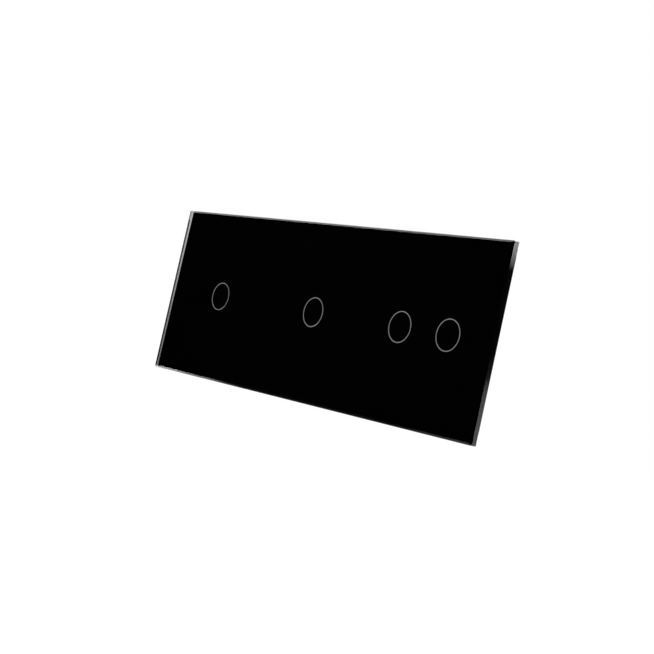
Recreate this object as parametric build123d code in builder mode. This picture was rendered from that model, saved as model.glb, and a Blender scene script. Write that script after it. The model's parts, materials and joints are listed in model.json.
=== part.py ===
from build123d import *

import os

os.makedirs("parts", exist_ok=True)

# A wall-mounted glass touch switch: one long glass panel over three touch modules, with one, one and two keys.
# X runs to the right, Z up and Y into the wall, whose face is Y = 0. The origin is the middle of the centre
# module on the wall's face, half way between its fixing screws. Every size is in millimetres.

# Modules, from left to right, with what each of their keys adds to the names of its own pieces
module_keys = {"left": [""], "middle": [""], "right": ["_1", "_2"]}
key_spacing = 28.3

# Mounting plate, with its fixing slots at the wall boxes' screws, and its snap lips
box_screw_spacing = 60.0
box_slot_width = 3.8
box_slot_length = 7.0
plate_edge = 4.7
plate_gap = 1.6
plate_thickness = 1.0
plate_corner = 2.0
plate_window_gap = 0.4
plate_window_corner = 3.0
plate_recess = 0.2
plate_recess_clearance = 0.2
lip_place = 18.0
lip_width = 10.0
lip_gap = 0.3
lip_thickness = 1.0
lip_inset = 1.7

# Carrier frame behind the glass, its snap fingers, and the foam tape between it and the glass
carrier_fit = 0.2
carrier_corner = 2.0
carrier_rim = 1.4
carrier_web = 1.0
carrier_wall_gap = 0.4
carrier_bar = 3.0
cover_room = 3.0
screw_notch_width = 9.0
screw_head_room = 4.0
pry_notch_width = 14.0
pry_notch_depth = 1.5
finger_width = 8.0
finger_gap = 0.4
finger_thickness = 0.9
finger_end_gap = 0.3
bead_height = 0.3
bead_depth = 0.5
tape_thickness = 0.4
tape_inset = 0.4

# Glass panel
glass_overhang = 3.7
glass_thickness = 4.0
front_bevel = 0.9
back_arris = 0.3
glass_corner_round = 0.4

# Ink on the back of the glass, with a ring window for each key
print_thickness = 0.1
print_margin = 0.5
ring_diameter = 13.0
ring_line = 0.35

# Front cover, light guides and touch board
cover_corner = 3.0
cover_gap = 0.1
cover_front_wall = 0.9
cover_side_wall = 1.5
cover_ledge_width = 0.8
cover_ledge_length = 5.0
cover_ledge_place = 12.0
cover_boss_diameter = 4.6
guide_surround = 1.05
guide_lip = 0.8
guide_flange = 0.3
guide_clearance = 0.1
touch_board_fit = 0.2
touch_board_edge = 2.7
touch_board_thickness = 1.0
touch_board_gap = 0.2
touch_chip_width = 6.0
touch_chip_length = 5.0
touch_chip_height = 1.4
touch_chip_place = (-7.0, 5.0)
led_width = 1.6
led_length = 0.8
led_height = 0.35
led_clearance = 0.05
header_width = 2.5
header_place = -11.0
header_pins = 6
header_pin_pitch = 2.54
header_pin_side = 0.64

# Screws that hold the rear housing, plate and front cover together
case_screw_inset = 2.5
case_screw_diameter = 2.2
case_screw_clearance = 0.05
case_screw_head_diameter = 4.0
case_screw_head = 1.4
case_screw_bite = 1.8
case_hole_clearance = 0.15
boss_diameter = 5.2
board_boss_clearance = 0.3
cross_slot_length = 2.6
cross_slot_width = 0.5
cross_slot_depth = 0.8

# Rear housing and power board
housing_wall = 1.4
housing_corner = 3.0
housing_edge_round = 0.7
board_rib_width = 2.0
board_rib_reach = 1.0
board_rib_place = 3.0
power_board_depth = 2.6
power_board_thickness = 1.2
power_board_clearance = 0.3

# Terminals: a screw turns in the block and lifts a cage, which grips the wire against a fixed bar
terminal_wall = 2.2
terminal_margin = 0.4
terminal_ceiling = 0.8
terminal_gap = 0.1
block_front_wall = 1.4
block_back_wall = 1.3
block_end_gap = 0.3
cage_side = 0.9
cage_length = 5.0
cage_floor = 0.8
cage_window_height = 3.4
cage_window_width = 3.6
cage_top = 1.2
cage_board_gap = 0.4
cage_travel = 1.3
cavity_clearance = 0.2
bar_side_gap = 0.4
bar_thickness = 0.8
bar_clearance = 0.1
bar_front_gap = 0.5
terminal_screw_diameter = 2.9
terminal_thread_clearance = 0.05
terminal_head_rim = 0.65
terminal_head = 1.6
terminal_head_room = 0.6
terminal_slot_width = 0.7
terminal_slot_depth = 0.8
terminal_bore_clearance = 0.15
access_hole_clearance = 0.2
wire_entry_height = 2.6
wire_funnel = 0.5

# Relays: a coil pulls a hinged armature, whose blade closes a contact
relay_length = 19.0
relay_width = 10.0
relay_room = 0.7
relay_rib_gap = 1.2
relay_gap = 1.2
relay_block_gap = 0.7
relay_wall = 0.5
relay_fit = 0.05
relay_base_thickness = 1.0
coil_radius = 2.3
coil_arm_gap = 0.3
bobbin_lip = 0.2
bobbin_flange = 0.6
core_radius = 1.1
pole_radius = 1.9
pole_thickness = 0.6
yoke_width = 6.4
yoke_thickness = 0.8
yoke_end_gap = 0.2
yoke_back_gap = 0.4
yoke_top_gap = 0.4
armature_width = 6.0
armature_thickness = 0.8
armature_top_gap = 0.2
armature_pivot_gap = 0.1
armature_gap = 0.5
armature_room = 1.0
contact_pole_gap = 0.2
contact_radius = 0.8
contact_thickness = 0.6
contact_gap = 0.7
blade_thickness = 0.2
blade_width = 2.6
blade_clearance = 0.4
blade_overlap = 3.8

# Other parts on the power board
column_gap = 3.6
column_room = 2.8
capacitor_diameter = 8.0
capacitor_room = 0.9
capacitor_rim = 0.6
capacitor_groove = 0.3
fuse_length = 8.4
fuse_width = 4.2
fuse_height = 8.0
fuse_round = 0.8
fuse_block_gap = 3.2
fuse_capacitor_gap = 3.4
transformer_width = 15.0
transformer_length = 7.2
transformer_height = 8.6
transformer_offset = -1.0
transformer_gap = 1.4
transformer_room = 1.6
transformer_winding = 0.9
transformer_leg = 2.4

# Widths and heights that follow from those: plate, carrier and glass
plate_side = box_screw_spacing + 2 * plate_edge
module_pitch = plate_side + plate_gap
module_row = (len(module_keys) - 1) * module_pitch + plate_side
lip_outer = plate_side / 2 - lip_inset
finger_inner = lip_outer + finger_gap
carrier_width = module_row + 2 * (carrier_fit + carrier_rim)
carrier_height = plate_side + 2 * (carrier_fit + carrier_rim)
panel_width = carrier_width + 2 * glass_overhang
panel_height = carrier_height + 2 * glass_overhang

# Terminal block and rear housing, round what they hold
cage_width = cage_window_width + 2 * cage_side
cavity_width = cage_width + 2 * cavity_clearance
cavity_length = cage_length + 2 * cavity_clearance
terminal_pitch = cavity_width + terminal_wall
bar_width = cage_window_width - 2 * bar_side_gap
terminal_head_diameter = terminal_screw_diameter + 2 * terminal_head_rim
block_length = block_front_wall + cavity_length + bar_thickness + bar_clearance + block_back_wall
inner_width = (
    2 * board_rib_reach
    + relay_rib_gap
    + 2 * relay_width
    + relay_gap
    + column_gap
    + fuse_length
    + column_room
)
inner_height = (
    block_end_gap
    + block_length
    + relay_block_gap
    + relay_length
    + transformer_gap
    + transformer_length
    + transformer_room
)
housing_width = inner_width + 2 * housing_wall
housing_height = inner_height + 2 * housing_wall
case_screw_x = housing_width / 2 - case_screw_inset
case_screw_z = housing_height / 2 - case_screw_inset
plate_window_width = 2 * case_screw_x - boss_diameter - 2 * plate_window_gap
plate_window_height = 2 * case_screw_z - boss_diameter - 2 * plate_window_gap

# Touch board, front cover and the carrier's windows, round the case screws
board_margin = cover_boss_diameter / 2 + board_boss_clearance + touch_board_edge
touch_board_width = 2 * (case_screw_x + board_margin)
touch_board_height = 2 * (case_screw_z + board_margin)
pocket_width = touch_board_width + 2 * touch_board_fit
pocket_height = touch_board_height + 2 * touch_board_fit
cover_width = pocket_width + 2 * cover_side_wall
cover_height = pocket_height + 2 * cover_side_wall
carrier_window_width = module_pitch - carrier_bar
carrier_window_height = cover_height + 2 * cover_room
screw_notch_reach = box_screw_spacing / 2 + screw_head_room
guide_diameter = ring_diameter + 2 * guide_surround
guide_flange_diameter = guide_diameter + 2 * guide_lip
header_length = header_pins * header_pin_pitch

# Places of the parts on the power board
block_low_z = -inner_height / 2 + block_end_gap
block_high_z = block_low_z + block_length
terminal_centre = block_low_z + block_front_wall + cavity_length / 2
relay_middle = block_high_z + relay_block_gap + relay_length / 2
relay_first = -inner_width / 2 + board_rib_reach + relay_rib_gap + relay_width / 2
relay_pitch = relay_width + relay_gap
column_x = inner_width / 2 - board_rib_reach - column_room - fuse_length / 2
fuse_z = block_high_z + fuse_block_gap + fuse_width / 2
capacitor_z = fuse_z + fuse_width / 2 + fuse_capacitor_gap + capacitor_diameter / 2
transformer_z = relay_middle + relay_length / 2 + transformer_gap + transformer_length / 2

# Depths from the wall's face, which are negative on the room's side: from the plate out to the glass
plate_front_y = -plate_thickness
touch_board_back_y = plate_front_y - touch_board_gap
touch_board_front_y = touch_board_back_y - touch_board_thickness
guide_back_y = touch_board_front_y - led_height - led_clearance
cover_pocket_y = guide_back_y - guide_flange
cover_front_y = cover_pocket_y - cover_front_wall
print_back_y = cover_front_y - cover_gap
glass_back_y = print_back_y - print_thickness
tape_back_y = print_back_y + tape_thickness
web_back_y = tape_back_y + carrier_web
lip_front_y = web_back_y + lip_gap
finger_back_y = plate_front_y - finger_end_gap

# Depths inside the rear housing, at rest with the cages open
housing_front_y = -plate_recess
power_front_y = power_board_depth
power_back_y = power_front_y + power_board_thickness
cage_low_y = power_back_y + cage_board_gap
cage_window_low_y = cage_low_y + cage_floor
cage_window_high_y = cage_window_low_y + cage_window_height
cage_high_y = cage_window_high_y + cage_top
bar_back_y = cage_window_high_y - bar_clearance
bar_front_y = bar_back_y - bar_thickness
wire_centre_y = (cage_window_low_y + bar_front_y) / 2
ceiling_y = cage_high_y + cage_travel + terminal_gap
head_seat_y = ceiling_y + terminal_ceiling
head_back_y = head_seat_y + terminal_head
block_back_y = head_back_y + terminal_head_room
housing_floor_y = block_back_y + terminal_gap
housing_back_y = housing_floor_y + housing_wall
capacitor_back_y = housing_floor_y - capacitor_room
relay_back_y = housing_floor_y - relay_room

# Relay depths, and lengths from its middle
yoke_arm_high_y = relay_back_y - relay_wall - yoke_top_gap
yoke_arm_low_y = yoke_arm_high_y - yoke_thickness
yoke_arm_y = (yoke_arm_low_y + yoke_arm_high_y) / 2
bobbin_radius = coil_radius + bobbin_lip
coil_y = yoke_arm_low_y - coil_arm_gap - bobbin_radius
contact_y = coil_y - pole_radius - contact_pole_gap - contact_radius
armature_low_y = contact_y + contact_radius + blade_clearance
yoke_back = -relay_length / 2 + relay_wall + yoke_back_gap
yoke_foot = yoke_back + yoke_thickness
bobbin_start = yoke_foot + yoke_end_gap
blade_face = relay_length / 2 - relay_wall - armature_room - blade_thickness
armature_face = blade_face - armature_thickness
pole_face = armature_face - armature_gap
pole_start = pole_face - pole_thickness
bobbin_end = pole_start - relay_fit
yoke_end = armature_face - armature_pivot_gap
fixed_contact_start = bobbin_end + contact_pole_gap
fixed_contact_face = fixed_contact_start + blade_thickness + contact_thickness
moving_contact_face = fixed_contact_face + contact_gap


def facing(y, x=0.0, z=0.0):
    """A sketch plane that looks at the room from depth y, so what is drawn on it grows towards the room."""
    return Plane(origin=(x, y, z), x_dir=(1, 0, 0), z_dir=(0, -1, 0))


def upright(z, x=0.0, y=0.0):
    """A level sketch plane at height z: its first axis is X and its second is Y."""
    return Plane(origin=(x, y, z), x_dir=(1, 0, 0), z_dir=(0, 0, 1))


def block(x, y, z, mode=Mode.ADD):
    """A box between two values on each axis, in the part that is being built."""
    with Locations(((x[0] + x[1]) / 2, (y[0] + y[1]) / 2, (z[0] + z[1]) / 2)):
        Box(x[1] - x[0], y[1] - y[0], z[1] - z[0], mode=mode)


def spread(centre, size):
    """The two ends of a length about its centre."""
    return (centre - size / 2, centre + size / 2)


def keep(piece, name):
    """Labels a finished piece and writes it."""
    piece.part.label = name
    export_step(piece.part, f"parts/{name}.step")


def module_x(module):
    """Where a module's middle is, across the switch."""
    return (list(module_keys).index(module) - (len(module_keys) - 1) / 2) * module_pitch


def key_places(module):
    """Where a module's keys are, across it."""
    keys = len(module_keys[module])
    return [(number - (keys - 1) / 2) * key_spacing for number in range(keys)]


def terminal_places(module):
    """A module's terminals by name, with their places across it: the line, then a load for each key."""
    names = ["line"] + [f"load{key}" for key in module_keys[module]]
    middle = (len(names) - 1) / 2
    return {name: (number - middle) * terminal_pitch for number, name in enumerate(names)}


all_keys = [module_x(m) + x for m in module_keys for x in key_places(m)]
all_terminals = [module_x(m) + x for m in module_keys for x in terminal_places(m).values()]
all_relays = {
    f"{m}_relay_armature{key}": module_x(m) + relay_first + number * relay_pitch
    for m in module_keys
    for number, key in enumerate(module_keys[m])
}
corner_places = [(x, z) for x in (-case_screw_x, case_screw_x) for z in (-case_screw_z, case_screw_z)]


# Glass panel: a clear plate with a polished bevel round its front
with BuildPart() as glass_panel:
    with BuildSketch(facing(glass_back_y)):
        Rectangle(panel_width, panel_height)
    extrude(amount=glass_thickness)
    chamfer(glass_panel.faces().sort_by(Axis.Y)[0].edges(), front_bevel)
    chamfer(glass_panel.faces().sort_by(Axis.Y)[-1].edges(), back_arris)
    fillet(glass_panel.edges().filter_by(Axis.Y), glass_corner_round)
keep(glass_panel, "glass_panel")

# Black ink on the back of the glass, open in a thin ring round each key
with BuildPart() as back_print:
    with BuildSketch(facing(print_back_y)):
        Rectangle(panel_width - 2 * print_margin, panel_height - 2 * print_margin)
        with Locations(*[(x, 0) for x in all_keys]):
            Circle((ring_diameter + ring_line) / 2, mode=Mode.SUBTRACT)
            Circle((ring_diameter - ring_line) / 2)
    extrude(amount=print_thickness)
keep(back_print, "back_print")

# Pale ink that fills those rings
with BuildPart() as ring_marks:
    with BuildSketch(facing(print_back_y)):
        with Locations(*[(x, 0) for x in all_keys]):
            Circle((ring_diameter + ring_line) / 2)
            Circle((ring_diameter - ring_line) / 2, mode=Mode.SUBTRACT)
    extrude(amount=print_thickness)
keep(ring_marks, "ring_marks")


def carrier_openings(grow=0.0):
    """The windows that the touch modules look through, with a notch for each fixing screw above and below."""
    with Locations(*[(module_x(m), 0) for m in module_keys]):
        Rectangle(carrier_window_width + 2 * grow, carrier_window_height + 2 * grow, mode=Mode.SUBTRACT)
        Rectangle(screw_notch_width + 2 * grow, 2 * screw_notch_reach, mode=Mode.SUBTRACT)


# Foam tape that sticks the glass to its carrier
with BuildPart() as adhesive_tape:
    with BuildSketch(facing(tape_back_y)):
        RectangleRounded(carrier_width - 2 * tape_inset, carrier_height - 2 * tape_inset, carrier_corner)
        carrier_openings(tape_inset)
    extrude(amount=tape_thickness)
keep(adhesive_tape, "adhesive_tape")

# Carrier: a shallow plastic frame whose snap fingers reach back beside the plates' lips
finger_places = [
    (module_x(m) + side * lip_place, up) for m in module_keys for side in (-1, 1) for up in (-1, 1)
]
with BuildPart() as panel_carrier:
    with BuildSketch(facing(-carrier_wall_gap)):
        RectangleRounded(carrier_width, carrier_height, carrier_corner)
    extrude(amount=-carrier_wall_gap - tape_back_y)
    with BuildSketch(facing(-carrier_wall_gap)):
        Rectangle(carrier_width - 2 * carrier_rim, carrier_height - 2 * carrier_rim)
    extrude(amount=-carrier_wall_gap - web_back_y, mode=Mode.SUBTRACT)
    with BuildSketch(facing(web_back_y)):
        RectangleRounded(carrier_width, carrier_height, carrier_corner)
        Rectangle(carrier_width, carrier_height, mode=Mode.SUBTRACT)
        with Locations(*[(module_x(m), 0) for m in module_keys]):
            Rectangle(carrier_window_width, carrier_window_height)
            Rectangle(screw_notch_width, 2 * screw_notch_reach)
    extrude(amount=carrier_web, mode=Mode.SUBTRACT)
    for x, up in finger_places:
        finger_z = sorted((up * finger_inner, up * (finger_inner + finger_thickness)))
        block(spread(x, finger_width), (web_back_y, finger_back_y), finger_z)
        bead_z = sorted((up * (finger_inner - bead_height), up * finger_inner))
        bead_y = (finger_back_y - bead_depth, finger_back_y)
        block(spread(x, finger_width), bead_y, bead_z)
    block(
        spread(0, pry_notch_width),
        (-carrier_wall_gap - pry_notch_depth, -carrier_wall_gap),
        (-carrier_height / 2, -carrier_height / 2 + carrier_rim),
        mode=Mode.SUBTRACT,
    )
keep(panel_carrier, "panel_carrier")


def mounting_plate(module):
    """Steel plate that screws to the wall box. Its bent-up lips hold the panel's snap fingers."""
    with BuildPart() as plate:
        with BuildSketch(facing(0, module_x(module))):
            RectangleRounded(plate_side, plate_side, plate_corner)
            RectangleRounded(
                plate_window_width, plate_window_height, plate_window_corner, mode=Mode.SUBTRACT
            )
            with Locations((-box_screw_spacing / 2, 0), (box_screw_spacing / 2, 0)):
                SlotOverall(box_slot_length, box_slot_width, mode=Mode.SUBTRACT)
            with Locations((0, -box_screw_spacing / 2), (0, box_screw_spacing / 2)):
                SlotOverall(box_slot_length, box_slot_width, rotation=90, mode=Mode.SUBTRACT)
            with Locations(*corner_places):
                Circle(case_screw_diameter / 2 + case_hole_clearance, mode=Mode.SUBTRACT)
        extrude(amount=plate_thickness)
        with BuildSketch(facing(0, module_x(module))):
            Rectangle(
                housing_width + 2 * plate_recess_clearance, housing_height + 2 * plate_recess_clearance
            )
        extrude(amount=plate_recess, mode=Mode.SUBTRACT)
        for side in (-1, 1):
            for up in (-1, 1):
                lip_x = spread(module_x(module) + side * lip_place, lip_width)
                lip_z = sorted((up * (lip_outer - lip_thickness), up * lip_outer))
                block(lip_x, (lip_front_y, plate_front_y), lip_z)
    keep(plate, f"{module}_mounting_plate")


def front_cover(module):
    """Shallow plastic tray over the touch board, with a round window for each light guide."""
    centre = module_x(module)
    with BuildPart() as cover:
        with BuildSketch(facing(plate_front_y, centre)):
            RectangleRounded(cover_width, cover_height, cover_corner)
        extrude(amount=plate_front_y - cover_front_y)
        with BuildSketch(facing(plate_front_y, centre)):
            RectangleRounded(pocket_width, pocket_height, cover_corner - cover_side_wall)
        extrude(amount=plate_front_y - cover_pocket_y, mode=Mode.SUBTRACT)
        ledge_y = (cover_pocket_y, touch_board_front_y)
        for side in (-1, 1):
            ledge_x = sorted((side * pocket_width / 2, side * (pocket_width / 2 - cover_ledge_width)))
            ledge_z = sorted((side * pocket_height / 2, side * (pocket_height / 2 - cover_ledge_width)))
            for place in (-cover_ledge_place, cover_ledge_place):
                block([centre + x for x in ledge_x], ledge_y, spread(place, cover_ledge_length))
                block(spread(centre + place, cover_ledge_length), ledge_y, ledge_z)
        with BuildSketch(facing(plate_front_y, centre)):
            with Locations(*corner_places):
                Circle(cover_boss_diameter / 2)
        extrude(amount=plate_front_y - cover_pocket_y)
        with BuildSketch(facing(cover_pocket_y, centre)):
            with Locations(*[(x, 0) for x in key_places(module)]):
                Circle(guide_diameter / 2 + guide_clearance)
        extrude(amount=cover_front_wall, mode=Mode.SUBTRACT)
        with BuildSketch(facing(plate_front_y, centre)):
            with Locations(*corner_places):
                Circle(case_screw_diameter / 2 + case_screw_clearance)
        extrude(amount=case_screw_bite + case_screw_clearance, mode=Mode.SUBTRACT)
    keep(cover, f"{module}_front_cover")


def light_guide(module):
    """Clear discs, one for each key, that spread the lamps' light to the ring on the glass."""
    with BuildPart() as guide:
        with BuildSketch(facing(cover_pocket_y, module_x(module))):
            with Locations(*[(x, 0) for x in key_places(module)]):
                Circle(guide_diameter / 2)
        extrude(amount=cover_front_wall)
        with BuildSketch(facing(guide_back_y, module_x(module))):
            with Locations(*[(x, 0) for x in key_places(module)]):
                Circle(guide_flange_diameter / 2)
        extrude(amount=guide_flange)
    keep(guide, f"{module}_light_guide")


def touch_board(module):
    """Circuit board that senses the finger through the glass."""
    with BuildPart() as board:
        with BuildSketch(facing(touch_board_back_y, module_x(module))):
            RectangleRounded(touch_board_width, touch_board_height, cover_corner - cover_side_wall)
            with Locations(*corner_places):
                Circle(cover_boss_diameter / 2 + board_boss_clearance, mode=Mode.SUBTRACT)
        extrude(amount=touch_board_thickness)
    keep(board, f"{module}_touch_board")


def rear_housing(module):
    """Deep plastic box that goes into the wall box, with holes for wires and a screwdriver."""
    centre = module_x(module)
    terminals = [centre + x for x in terminal_places(module).values()]
    inner_corner = housing_corner - housing_wall
    with BuildPart() as housing:
        with BuildSketch(facing(housing_back_y, centre)):
            RectangleRounded(housing_width, housing_height, housing_corner)
        extrude(amount=housing_back_y - housing_front_y)
        fillet(housing.faces().sort_by(Axis.Y)[-1].edges(), housing_edge_round)
        with BuildSketch(facing(housing_floor_y, centre)):
            RectangleRounded(inner_width, inner_height, inner_corner)
        extrude(amount=housing_floor_y - housing_front_y, mode=Mode.SUBTRACT)
        with BuildSketch(facing(housing_floor_y, centre)):
            with Locations(*corner_places):
                Circle(boss_diameter / 2)
            RectangleRounded(inner_width, inner_height, inner_corner, mode=Mode.INTERSECT)
        extrude(amount=housing_floor_y - housing_front_y)
        for side in (-1, 1):
            for place in (-board_rib_place, board_rib_place):
                wall = side * inner_width / 2
                rib_x = sorted((centre + wall, centre + wall - side * board_rib_reach))
                block(rib_x, (power_back_y, housing_floor_y), spread(place, board_rib_width))
        with BuildSketch(facing(housing_back_y, centre)):
            with Locations(*corner_places):
                Circle(case_screw_diameter / 2 + case_hole_clearance)
        extrude(amount=housing_back_y - housing_front_y, mode=Mode.SUBTRACT)
        with BuildSketch(facing(housing_back_y, centre)):
            with Locations(*corner_places):
                Circle(case_screw_head_diameter / 2 + case_hole_clearance)
        extrude(amount=case_screw_head, mode=Mode.SUBTRACT)
        with BuildSketch(facing(housing_back_y)):
            with Locations(*[(x, terminal_centre) for x in terminals]):
                Circle(terminal_head_diameter / 2 + access_hole_clearance)
        extrude(amount=housing_wall, mode=Mode.SUBTRACT)
        for x in terminals:
            with BuildSketch(upright(-housing_height / 2, x, wire_centre_y)) as mouth:
                Rectangle(cage_window_width + 2 * wire_funnel, wire_entry_height + 2 * wire_funnel)
            with BuildSketch(upright(-inner_height / 2, x, wire_centre_y)) as throat:
                Rectangle(cage_window_width, wire_entry_height)
            loft(sections=[mouth.sketch, throat.sketch], mode=Mode.SUBTRACT)
    keep(housing, f"{module}_rear_housing")


def power_board(module):
    """Circuit board that carries the relays and terminals, cut away round the housing's bosses."""
    with BuildPart() as board:
        with BuildSketch(facing(power_back_y, module_x(module))):
            Rectangle(inner_width - 2 * power_board_clearance, inner_height - 2 * power_board_clearance)
            with Locations(*corner_places):
                Circle(boss_diameter / 2 + power_board_clearance, mode=Mode.SUBTRACT)
            with Locations(*[(x * 2, z * 2) for x, z in corner_places]):
                Rectangle(2 * case_screw_x, 2 * case_screw_z, mode=Mode.SUBTRACT)
        extrude(amount=power_board_thickness)
    keep(board, f"{module}_power_board")


def terminal_block(module):
    """Plastic block with a cavity for each cage, open towards the board, and a seat for each screw's head."""
    places = [module_x(module) + x for x in terminal_places(module).values()]
    edge = terminal_pitch / 2 + terminal_margin
    with BuildPart() as body:
        block(
            (places[0] - edge, places[-1] + edge),
            (power_back_y, block_back_y),
            (block_low_z, block_high_z),
        )
        for x in places:
            cavity_z = spread(terminal_centre, cavity_length)
            block(spread(x, cavity_width), (power_back_y, ceiling_y), cavity_z, mode=Mode.SUBTRACT)
            wire_y = spread(wire_centre_y, wire_entry_height)
            block(spread(x, cage_window_width), wire_y, (block_low_z, terminal_centre), mode=Mode.SUBTRACT)
            bar_y = (power_back_y, bar_back_y + bar_clearance)
            bar_z = (terminal_centre, block_high_z - block_back_wall)
            block(spread(x, bar_width + 2 * bar_clearance), bar_y, bar_z, mode=Mode.SUBTRACT)
        with BuildSketch(facing(block_back_y)):
            with Locations(*[(x, terminal_centre) for x in places]):
                Circle(terminal_head_diameter / 2 + terminal_bore_clearance)
        extrude(amount=block_back_y - head_seat_y, mode=Mode.SUBTRACT)
        with BuildSketch(facing(head_seat_y)):
            with Locations(*[(x, terminal_centre) for x in places]):
                Circle(terminal_screw_diameter / 2 + terminal_bore_clearance)
        extrude(amount=terminal_ceiling, mode=Mode.SUBTRACT)
    keep(body, f"{module}_terminal_block")


def terminal_clamp(module, terminal):
    """Steel cage that the screw lifts, so that it grips the wire against the fixed bar."""
    x = module_x(module) + terminal_places(module)[terminal]
    with BuildPart() as cage:
        length = spread(terminal_centre, cage_length)
        block(spread(x, cage_width), (cage_low_y, cage_high_y), length)
        window_y = (cage_window_low_y, cage_window_high_y)
        block(spread(x, cage_window_width), window_y, length, mode=Mode.SUBTRACT)
        with BuildSketch(facing(cage_high_y, x, terminal_centre)):
            Circle(terminal_screw_diameter / 2 + terminal_thread_clearance)
        extrude(amount=cage_top, mode=Mode.SUBTRACT)
    keep(cage, f"{module}_{terminal}_clamp")


def terminal_screw(module, terminal):
    """Slotted screw, held in the block so that it turns without moving along."""
    x = module_x(module) + terminal_places(module)[terminal]
    with BuildPart() as screw:
        with BuildSketch(facing(head_back_y, x, terminal_centre)):
            Circle(terminal_head_diameter / 2)
        extrude(amount=terminal_head)
        with BuildSketch(facing(head_seat_y, x, terminal_centre)):
            Circle(terminal_screw_diameter / 2)
        extrude(amount=head_seat_y - bar_back_y - bar_clearance)
        slot_y = (head_back_y - terminal_slot_depth, head_back_y)
        slot_z = spread(terminal_centre, terminal_head_diameter)
        block(spread(x, terminal_slot_width), slot_y, slot_z, mode=Mode.SUBTRACT)
    keep(screw, f"{module}_{terminal}_screw")


def relay_armature(name, x):
    """Hinged steel plate with the moving contact's blade and rivet on it."""
    blade_z = relay_middle + blade_face
    with BuildPart() as armature:
        plate_y = (armature_low_y, yoke_arm_high_y + armature_top_gap)
        block(spread(x, armature_width), plate_y, (blade_z - armature_thickness, blade_z))
        blade_y = (contact_y - contact_radius, armature_low_y + blade_overlap)
        block(spread(x, blade_width), blade_y, (blade_z, blade_z + blade_thickness))
        with BuildSketch(upright(blade_z, x, contact_y)):
            Circle(contact_radius)
        extrude(amount=moving_contact_face - blade_face)
    keep(armature, name)


for module in module_keys:
    mounting_plate(module)
    front_cover(module)
    light_guide(module)
    touch_board(module)
    rear_housing(module)
    power_board(module)
    terminal_block(module)
    for terminal in terminal_places(module):
        terminal_clamp(module, terminal)
        terminal_screw(module, terminal)
for name, x in all_relays.items():
    relay_armature(name, x)

# Case screws: four for each module, from behind through housing and plate into the front cover
screw_shank = housing_back_y - case_screw_head - plate_front_y + case_screw_bite
with BuildPart() as case_screws:
    for module in module_keys:
        for x, z in corner_places:
            with BuildSketch(facing(housing_back_y, module_x(module) + x, z)):
                Circle(case_screw_head_diameter / 2)
            extrude(amount=case_screw_head)
            with BuildSketch(facing(housing_back_y - case_screw_head, module_x(module) + x, z)):
                Circle(case_screw_diameter / 2)
            extrude(amount=screw_shank)
            for width, height in (
                (cross_slot_length, cross_slot_width),
                (cross_slot_width, cross_slot_length),
            ):
                block(
                    spread(module_x(module) + x, width),
                    (housing_back_y - cross_slot_depth, housing_back_y),
                    spread(z, height),
                    mode=Mode.SUBTRACT,
                )
keep(case_screws, "case_screws")

# Lamps on the touch boards, above and below the middle of each key, under the ring
with BuildPart() as indicator_leds:
    for x in all_keys:
        for z in (-ring_diameter / 2, ring_diameter / 2):
            led_y = (guide_back_y + led_clearance, touch_board_front_y)
            block(spread(x, led_width), led_y, spread(z, led_length))
keep(indicator_leds, "indicator_leds")

# Touch chips, behind the touch boards
with BuildPart() as touch_chips:
    for module in module_keys:
        chip_x = spread(module_x(module) + touch_chip_place[0], touch_chip_width)
        chip_z = spread(touch_chip_place[1], touch_chip_length)
        block(chip_x, (touch_board_back_y, touch_board_back_y + touch_chip_height), chip_z)
keep(touch_chips, "touch_chips")

# Pin headers that join each touch board to its power board
with BuildPart() as board_headers:
    for module in module_keys:
        centre = module_x(module)
        middle = (touch_board_back_y + power_front_y) / 2
        base_z = spread(header_place, header_width)
        block(spread(centre, header_length), (touch_board_back_y, middle), base_z)
        for pin in range(header_pins):
            pin_x = centre + (pin - (header_pins - 1) / 2) * header_pin_pitch
            pin_z = spread(header_place, header_pin_side)
            block(spread(pin_x, header_pin_side), (middle, power_front_y), pin_z)
keep(board_headers, "board_headers")

# Fixed bars of the terminals: each runs into its cage and turns down to the board
with BuildPart() as terminal_bars:
    for x in all_terminals:
        start = terminal_centre - cage_length / 2 + bar_front_gap
        leg_start = terminal_centre + cavity_length / 2
        leg_z = (leg_start, leg_start + bar_thickness)
        block(spread(x, bar_width), (bar_front_y, bar_back_y), (start, leg_start))
        block(spread(x, bar_width), (power_back_y, bar_back_y), leg_z)
keep(terminal_bars, "terminal_bars")

# Relay bases
relay_inner_width = relay_width - 2 * relay_wall
relay_inner_length = relay_length - 2 * relay_wall
relay_base_y = power_back_y + relay_base_thickness
with BuildPart() as relay_bases:
    for x in all_relays.values():
        base_x = spread(x, relay_inner_width - 2 * relay_fit)
        base_z = spread(relay_middle, relay_inner_length - 2 * relay_fit)
        block(base_x, (power_back_y, relay_base_y), base_z)
keep(relay_bases, "relay_bases")

# Relay covers
with BuildPart() as relay_covers:
    for x in all_relays.values():
        with BuildSketch(facing(relay_back_y, x, relay_middle)):
            RectangleRounded(relay_width, relay_length, relay_wall)
        extrude(amount=relay_back_y - power_back_y)
        inside_y = (power_back_y, relay_back_y - relay_wall)
        inside_z = spread(relay_middle, relay_inner_length)
        block(spread(x, relay_inner_width), inside_y, inside_z, mode=Mode.SUBTRACT)
keep(relay_covers, "relay_covers")

# Relay coils: copper winding between the bobbin's two flanges, round the core
with BuildPart() as relay_coils:
    for x in all_relays.values():
        for start, end, radius in (
            (bobbin_start, bobbin_start + bobbin_flange, bobbin_radius),
            (bobbin_start + bobbin_flange, bobbin_end - bobbin_flange, coil_radius),
            (bobbin_end - bobbin_flange, bobbin_end, bobbin_radius),
        ):
            with BuildSketch(upright(relay_middle + start, x, coil_y)):
                Circle(radius)
                Circle(core_radius + relay_fit, mode=Mode.SUBTRACT)
            extrude(amount=end - start)
keep(relay_coils, "relay_coils")

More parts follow.
